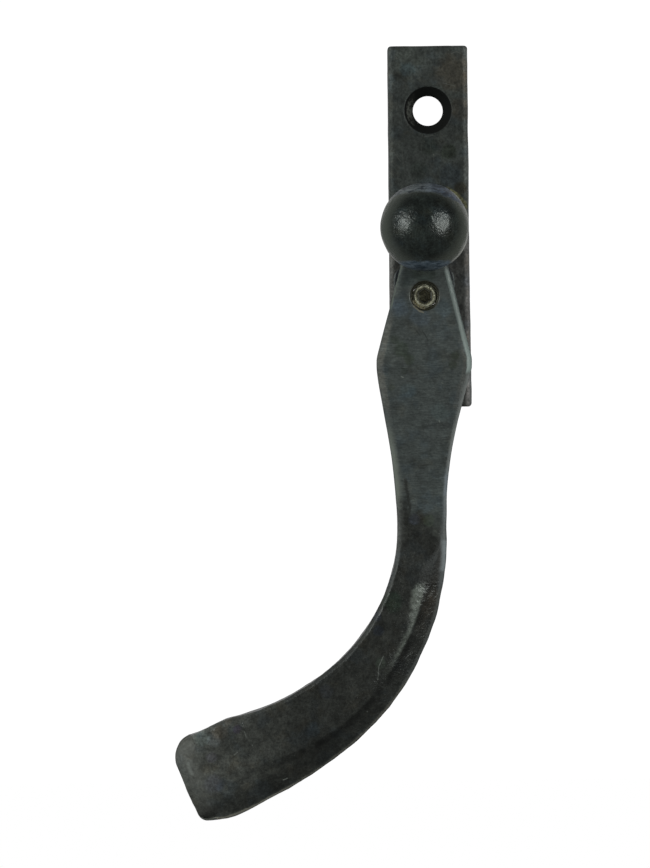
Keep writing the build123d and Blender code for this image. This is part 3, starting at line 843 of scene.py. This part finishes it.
    # Light scratches and flecks, with a painted glint and a soft painted highlight on the end, and light
    # specks
    light = look.strokes(
        (0.8, 0.3, (-11.2, -105.2), (-12.3, -107.7), (-12.6, -111)),
        (1, 0.4, (-36, -135.4), (-35, -135)),
        (0.6, 0.3, (-45.3, -123.4), (-44.9, -124.8)),
    )
    light = look.most(light, look.stroke(1.5, (-59.2, -131), (-59, -132.2), (-58.3, -133.6), soft=True))
    light = look.most(light, look.product(look.stroke(0.4, (-47.9, -129), (-47.1, -128.4)), 0.7))
    light = look.product(light, look.kept("front"))
    dots = look.most(look.specks(2.0, 0.4, 0.13, 6.0), look.specks(0.9, 0.3, 0.17, 7.0))
    light = look.most(light, look.product(dots, 0.6))
    return look.blend(light, colour, (0.17, 0.175, 0.165))


def lever_finish():
    """Lever: smooth, finely scratched head and taper, and a rough, dark grip."""
    look = Finish("forged_lever")
    inner = look.kept("inner_gap")
    outer = look.kept("outer_gap")
    end = look.kept("end_gap")
    ridge = look.kept("ridge")
    leaning = look.product_plus(look.x, 0.4, look.z)
    ragged = look.product_plus(look.noise(3.2, 6, 0.75, 20.0), 22 * MM, leaning)
    grip = look.fade(ragged, -56, -63)
    streak = look.stroke(1.3, (-5.2, -62.2), (-5, -65), (-4.2, -69), (-4.9, -72))
    grip = look.most(grip, look.product(streak, 0.8))
    head, lines = head_colour(look, inner, outer)
    colour = look.blend(grip, head, grip_colour(look, inner, outer, ridge, end))

    pits = look.noise(0.6, 3, 0.5, 29.0)
    bump = look.mixed(grip, look.product(lines, 0.4), pits)
    rough = look.spread(look.noise(1.8, 5, 0.6, 30.0), *NOISE_RANGE, 0.38, 0.52)
    dull = look.product(look.fade(look.z, -88, -86.5), look.spread(ridge, 2.2, 1.6))
    rough = look.mixed(grip, rough, look.mixed(dull, look.spread(pits, *NOISE_RANGE, 0.34, 0.26), 0.55))
    strip = look.product(look.fade(inner, 2.1, 1.3), look.fade(look.z, -84, -70))
    rough = look.mixed(strip, rough, 0.7)
    rough = look.mixed(look.product(grip, look.fade(inner, 1.2, 0.6)), rough, 0.6)
    right_rim = look.product(look.fade(outer, 1.1, 0.6), look.fade(look.z, -36, -40))
    rough = look.mixed(right_rim, rough, 0.6)
    rough = look.mixed(look.fade(end, 6, 3), rough, 0.68)
    return look.finished(colour, rough, bump, 0.14 * MM)


def ball_finish():
    """Ball: hammered and waxed, near black and brownish at its left, with painted reflections that lighten
    it towards its rim and make it bluish at its top and foot, and a thin painted highlight on its right rim.
    """
    look = Finish("forged_ball")
    look.shader.inputs["Specular IOR Level"].default_value = 0.42
    colour = look.waxed(BALL_COLOUR, 40.0, cloud=0.42)
    radius = look.away(0, 0)
    # Painted reflection: lighter towards the rim
    rim = look.fade(radius, 7.0, 11.1)
    rim_colour = look.blend(look.fade(look.x, -4, 4), (0.100, 0.107, 0.095), (0.112, 0.118, 0.102))
    colour = look.blend(rim, colour, rim_colour)
    # Painted reflections of the bright surroundings: pale and bluish at the top, bluish at the foot, broken
    # by scratches
    bend = look.product(look.calc("ADD", look.x, 1.5 * MM), 0.03 / MM)
    bend = look.product_plus(bend, look.calc("ADD", look.x, 1.5 * MM), look.z)
    scratches = look.spread(look.noise((2.0, 2.0, 0.55), 5, 0.65, 45.0), 0.36, 0.62)
    pale = look.blend(look.fade(look.x, -3, 5), (0.19, 0.21, 0.22), (0.10, 0.125, 0.175))
    lit = look.blend(scratches, (0.014, 0.020, 0.030), pale)
    top = look.fade(look.product_plus(look.noise(1.5, 4, 0.6, 44.0), 1.6 * MM, bend), 9.0, 9.8)
    colour = look.blend(top, colour, lit)
    foot = look.fade(look.product_plus(look.noise(1.5, 4, 0.6, 47.0), 1.6 * MM, look.z), -7.4, -8.2)
    colour = look.blend(foot, colour, look.blend(scratches, (0.030, 0.048, 0.072), (0.16, 0.20, 0.25)))
    colour = look.blend(look.stroke(0.45, (1.6, 2.2), (1.7, 1.7)), colour, (0.2, 0.22, 0.21))
    # Painted highlight: a thin bright line on the ball's right rim, at the front
    ragged = look.noise(1.5, 4, 0.6, 46.0)
    bright_rim = look.fade(look.product_plus(ragged, 0.3 * MM, radius), 10.7, 10.95)
    bright_rim = look.product(bright_rim, look.fade(look.x, 5, 8))
    high = look.product_plus(ragged, -3 * MM, look.y)
    bright_rim = look.product(bright_rim, look.spread(high, -BALL_HEIGHT - 1.2 * MM, -BALL_HEIGHT - 3.2 * MM))
    bright_rim = look.product(bright_rim, look.spread(ragged, 0.38, 0.55, 0.3, 1.0))
    colour = look.blend(bright_rim, colour, (0.26, 0.265, 0.215))
    rough = look.spread(look.noise(1.2, 4, 0.6, 42.0), *NOISE_RANGE, 0.24, 0.33)
    rough = look.mixed(look.most(top, foot), rough, 0.45)
    return look.finished(colour, rough, look.noise(0.5, 2, 0.5, 43.0), 0.1 * MM)


def lug_finish():
    """Lug: rough, dark and waxed, with painted highlights on its corners."""
    look = Finish("forged_lug")
    colour = look.waxed(LUG_COLOUR, 50.0)
    # Painted highlights on the lug's corners
    corner = look.fade(look.calc("ABSOLUTE", look.x), 6.8, 7.2)
    colour = look.blend(corner, colour, (0.06, 0.068, 0.07))
    return look.finished(colour, 0.42, look.noise(0.8, 3, 0.5, 53.0), 0.1 * MM)


def metal_finish(name, colour, darkening, roughness, seed):
    """A bare or plated metal, with grime and fine scuffs."""
    look = Finish(name, metallic=1.0)
    grime = look.spread(look.noise(1.4, 7, 0.65, seed), 0.45, 0.7, 0.0, 0.8)
    tone = look.blend(grime, colour, darkening)
    rough = look.spread(look.noise(0.8, 5, 0.6, seed + 1), *NOISE_RANGE, roughness - 0.08, roughness + 0.12)
    return look.finished(tone, rough, look.noise((0.2, 2, 0.2), 3, 0.5, seed + 2), 0.01 * MM)


def screw_finish():
    """Locking screw: yellow passivated, bright with wear at its rim, with a dirty socket painted lighter
    against the shade of the hole, and painted shade at its lip.
    """
    look = Finish("set_screw", metallic=1.0)
    ragged = look.away(0, LOCK_Z, 0.3 * MM)
    grime = look.spread(look.noise(0.7, 5, 0.65, 69.0), 0.4, 0.62)
    tone = look.blend(grime, (0.40, 0.37, 0.26), (0.13, 0.12, 0.075))
    bright_rim = look.product(look.fade(ragged, 2.2, 2.4), look.spread(grime, 1.0, 0.3, 0.4, 1.0))
    tone = look.blend(bright_rim, tone, (0.95, 0.92, 0.72))
    across = look.calc("ABSOLUTE", look.x)
    down = look.calc("ABSOLUTE", look.calc("SUBTRACT", look.z, LOCK_Z))
    leaning = look.product_plus(across, math.cos(HEXAGON_TURN), look.product(down, math.sin(HEXAGON_TURN)))
    socket = look.fade(look.most(across, leaning), SOCKET_EDGE, SOCKET_FLAT)
    # Socket: painted light against the shade deep in the hole, darker towards its lower side, and painted
    # shade on its lit lip
    dull = look.blend(grime, (0.49, 0.475, 0.38), (0.20, 0.19, 0.14))
    dull = look.times(dull, look.spread(look.z, LOCK_Z - 0.3 * MM, LOCK_Z - 1.7 * MM), 1.0, 0.4)
    dull = look.times(dull, look.spread(look.y, -SCREW_HIGH + 0.2 * MM, -SCREW_HIGH + 0.9 * MM), 0.13, 1.0)
    tone = look.blend(socket, tone, dull)
    dim = look.most(socket, look.product(bright_rim, 0.35))
    look.feed(look.shader.inputs["Metallic"], look.spread(dim, 0.0, 1.0, 1.0, 0.0))
    rough = look.mixed(socket, look.mixed(bright_rim, 0.42, 0.26), 0.6)
    return look.finished(tone, rough, look.noise(0.45, 3, 0.6, 70.0), 0.12 * MM)


def plain(name, colour, roughness):
    """One even colour, for the floor."""
    material = bpy.data.materials.new(name)
    material.use_nodes = True
    shader = material.node_tree.nodes["Principled BSDF"]
    shader.inputs["Base Color"].default_value = (*colour, 1)
    shader.inputs["Roughness"].default_value = roughness
    return material


def dress(thing, material):
    """Gives the whole object one material."""
    if not thing.material_slots:
        thing.data.materials.append(material)
    for place in thing.material_slots:
        place.material = material


def make_camera():
    """The photograph's view: from far in front, along +Y."""
    data = bpy.data.cameras.new("camera")
    camera = linked("camera", data)
    view_height = FRAME_HEIGHT * MM_PER_PIXEL * MM
    data.sensor_width = SENSOR
    data.lens = SENSOR * CAMERA_DISTANCE / view_height
    data.clip_start = NEAREST_SEEN
    data.clip_end = FARTHEST_SEEN
    camera.location = (CAMERA_X, -PLATE_THICK - CAMERA_DISTANCE, CAMERA_Z)
    camera.rotation_euler = (math.radians(90), CAMERA_ROLL, 0)
    bpy.context.scene.camera = camera


def soft_box(name, azimuth, elevation, distance, width, height, radiance):
    """A soft box that faces the lever below the ball. Azimuth is from the camera's side, to the right."""
    aim = Vector((0, -BALL_HEIGHT, LIGHT_AIM_Z))
    around = math.radians(azimuth)
    up = math.radians(elevation)
    towards = Vector((math.sin(around) * math.cos(up), -math.cos(around) * math.cos(up), math.sin(up)))
    data = bpy.data.lights.new(name, "AREA")
    data.shape = "RECTANGLE"
    data.size = width
    data.size_y = height
    data.energy = radiance * math.pi * width * height
    data.color = LIGHT_TINT
    lamp = linked(name, data)
    lamp.location = aim + towards * distance
    lamp.rotation_mode = "QUATERNION"
    lamp.rotation_quaternion = (-towards).to_track_quat("-Z", "Y")


def make_world():
    """Dim light in front, and bright behind and above, more at the right, which is white to the camera."""
    world = bpy.data.worlds.new("studio")
    bpy.context.scene.world = world
    world.use_nodes = True
    nodes = world.node_tree.nodes
    links = world.node_tree.links
    place = nodes.new("ShaderNodeTexCoord")
    split = nodes.new("ShaderNodeSeparateXYZ")
    links.new(place.outputs["Generated"], split.inputs["Vector"])
    height = nodes.new("ShaderNodeMath")
    height.operation = "ABSOLUTE"
    links.new(split.outputs["Z"], height.inputs[0])
    place = split.outputs["Y"]
    for source, share in ((height.outputs[0], WORLD_HEIGHT_SHARE), (split.outputs["X"], WORLD_RIGHT_SHARE)):
        away = nodes.new("ShaderNodeMath")
        away.operation = "MULTIPLY_ADD"
        away.inputs[1].default_value = share
        links.new(source, away.inputs[0])
        links.new(place, away.inputs[2])
        place = away.outputs[0]
    step = nodes.new("ShaderNodeMapRange")
    step.interpolation_type = "SMOOTHSTEP"
    step.inputs["From Min"].default_value, step.inputs["From Max"].default_value = WORLD_TURNS
    step.inputs["To Min"].default_value = WORLD_FRONT
    step.inputs["To Max"].default_value = WORLD_BEHIND
    links.new(place, step.inputs["Value"])
    seen = nodes.new("ShaderNodeLightPath")
    strength = nodes.new("ShaderNodeMix")
    strength.inputs["B"].default_value = WORLD_SEEN
    links.new(step.outputs["Result"], strength.inputs["A"])
    links.new(seen.outputs["Is Camera Ray"], strength.inputs["Factor"])
    background = nodes["Background"]
    links.new(strength.outputs["Result"], background.inputs["Strength"])
    background.inputs["Color"].default_value = (1, 1, 1, 1)


def make_floor():
    """A plain white floor under the object, which shows white to the camera."""
    mesh = bpy.data.meshes.new("floor")
    half = FLOOR_SIZE / 2
    corners = [(x, y, FLOOR_Z) for x, y in ((-half, -half), (half, -half), (half, half), (-half, half))]
    mesh.from_pydata(corners, [], [(0, 1, 2, 3)])
    floor = linked("floor", mesh)
    material = plain("floor", FLOOR_COLOUR, roughness=0.9)
    nodes = material.node_tree.nodes
    links = material.node_tree.links
    nodes["Principled BSDF"].inputs["Specular IOR Level"].default_value = 0.0
    white = nodes.new("ShaderNodeEmission")
    seen = nodes.new("ShaderNodeLightPath")
    either = nodes.new("ShaderNodeMixShader")
    links.new(seen.outputs["Is Camera Ray"], either.inputs["Fac"])
    links.new(nodes["Principled BSDF"].outputs[0], either.inputs[1])
    links.new(white.outputs[0], either.inputs[2])
    links.new(either.outputs[0], nodes["Material Output"].inputs["Surface"])
    dress(floor, material)


make_camera()
make_world()
soft_box("left_box", azimuth=-61, elevation=13, distance=0.9, width=0.32, height=0.45, radiance=10)
soft_box("right_box", azimuth=47, elevation=10, distance=0.9, width=0.29, height=0.45, radiance=9.6)
make_floor()

view = bpy.context.scene.view_settings
view.view_transform = "Standard"

dress(make_plate(), plate_finish())
dress(make_lever(), lever_finish())
dress(make_ball(), ball_finish())
dress(make_lug(), lug_finish())
zinc = metal_finish("zinc_steel", (0.56, 0.56, 0.55), (0.30, 0.29, 0.27), roughness=0.35, seed=60.0)
spring = metal_finish("spring_steel", (0.20, 0.20, 0.21), (0.08, 0.07, 0.06), roughness=0.4, seed=63.0)
turned = metal_finish("turned_steel", (0.06, 0.065, 0.075), (0.03, 0.03, 0.03), roughness=0.4, seed=66.0)
brass = metal_finish("brass", (0.70, 0.55, 0.30), (0.25, 0.18, 0.09), roughness=0.35, seed=72.0)
for node, material in (
    ("pivot_hub", turned),
    ("spindle", zinc),
    ("back_washer", zinc),
    ("spindle_pin", spring),
    ("spring_washer", spring),
    ("snap_ring", spring),
    ("locking_screw", screw_finish()),
    ("front_washer", brass),
):
    dress(frame["nodes"][node], material)
